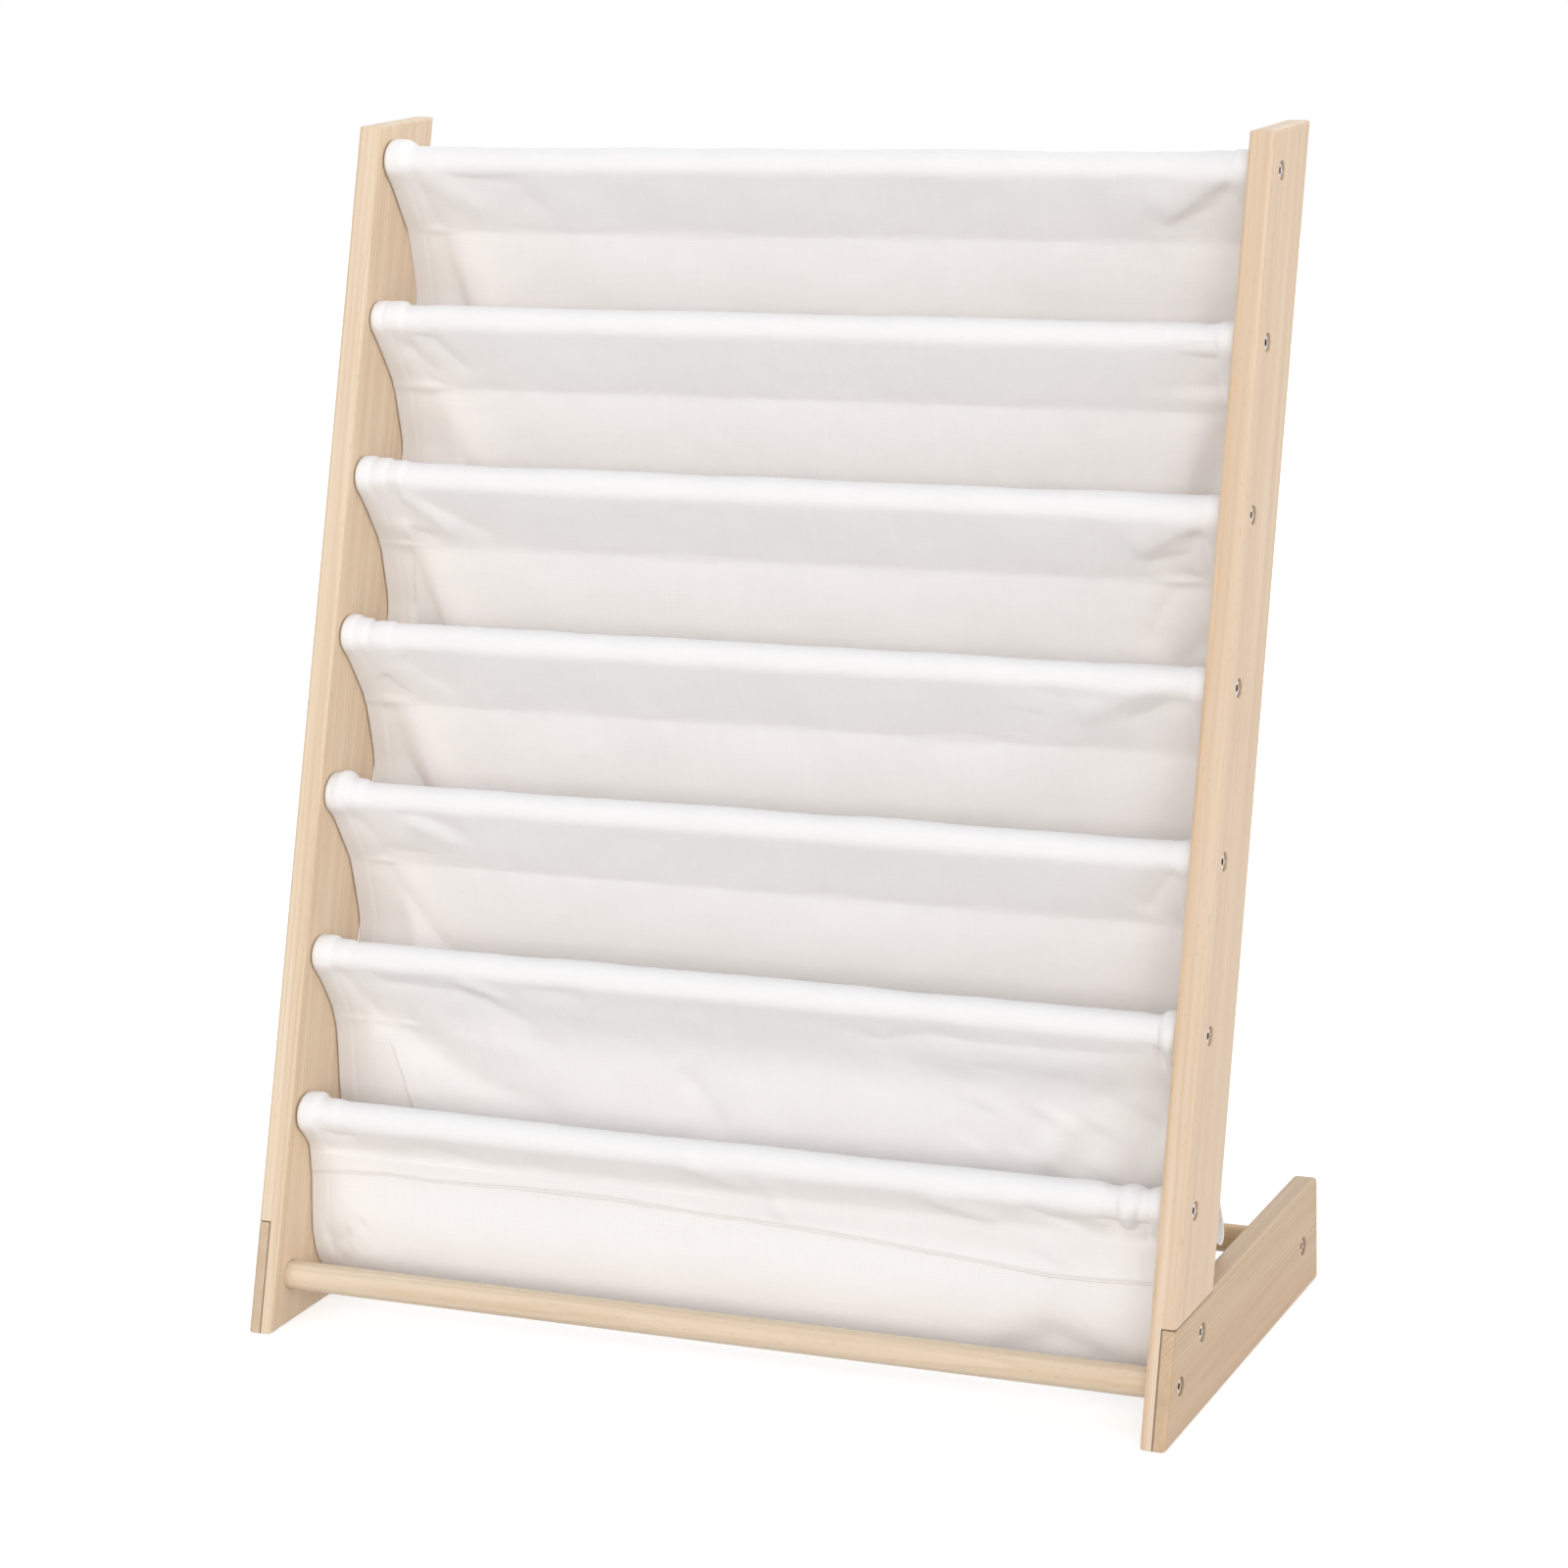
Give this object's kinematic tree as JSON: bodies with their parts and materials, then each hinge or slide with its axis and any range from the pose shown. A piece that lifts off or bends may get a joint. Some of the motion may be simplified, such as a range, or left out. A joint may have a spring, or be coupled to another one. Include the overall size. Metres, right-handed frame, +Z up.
{
  "type": "sling bookshelf",
  "caption": "Child's bookshelf of leaning pine sides on feet, joined by screwed dowels, with white canvas slung between them as stepped pockets that hold books facing forward.",
  "frame": {"origin": "centre of the footprint, on the floor", "axes": "+X to the right along the dowels, seen from the front, +Y to the back, +Z up"},
  "size_m": [0.6, 0.306, 0.727],
  "materials": {
    "pine_board": "clear matt lacquer on pale pine",
    "pine_dowel": "sanded pale pine",
    "zinc_screw": "zinc plated",
    "canvas": "plain woven white cotton"
  },
  "bodies": {
    "root": {"upright_right": "pine_board", "foot_right": "pine_board", "upright_left": "pine_board", "foot_left": "pine_board", "dowel_bare": "pine_dowel", "dowel_slung_1": "pine_dowel", "dowel_slung_2": "pine_dowel", "dowel_slung_3": "pine_dowel", "dowel_slung_4": "pine_dowel", "dowel_slung_5": "pine_dowel", "dowel_slung_6": "pine_dowel", "dowel_slung_7": "pine_dowel", "dowel_rear": "pine_dowel", "screw_front_0_right": "zinc_screw", "screw_front_0_left": "zinc_screw", "screw_front_1_right": "zinc_screw", "screw_front_1_left": "zinc_screw", "screw_front_2_right": "zinc_screw", "screw_front_2_left": "zinc_screw", "screw_front_3_right": "zinc_screw", "screw_front_3_left": "zinc_screw", "screw_front_4_right": "zinc_screw", "screw_front_4_left": "zinc_screw", "screw_front_5_right": "zinc_screw", "screw_front_5_left": "zinc_screw", "screw_front_6_right": "zinc_screw", "screw_front_6_left": "zinc_screw", "screw_front_7_right": "zinc_screw", "screw_front_7_left": "zinc_screw", "screw_rear_right": "zinc_screw", "screw_rear_left": "zinc_screw", "screw_lap_right": "zinc_screw", "screw_lap_left": "zinc_screw", "sleeve_1": "canvas", "sleeve_2": "canvas", "sleeve_3": "canvas", "sleeve_4": "canvas", "sleeve_5": "canvas", "sleeve_6": "canvas", "sleeve_7": "canvas", "pocket_1": "canvas", "pocket_2": "canvas", "pocket_3": "canvas", "pocket_4": "canvas", "pocket_5": "canvas", "pocket_6": "canvas"}
  },
  "joints": []
}
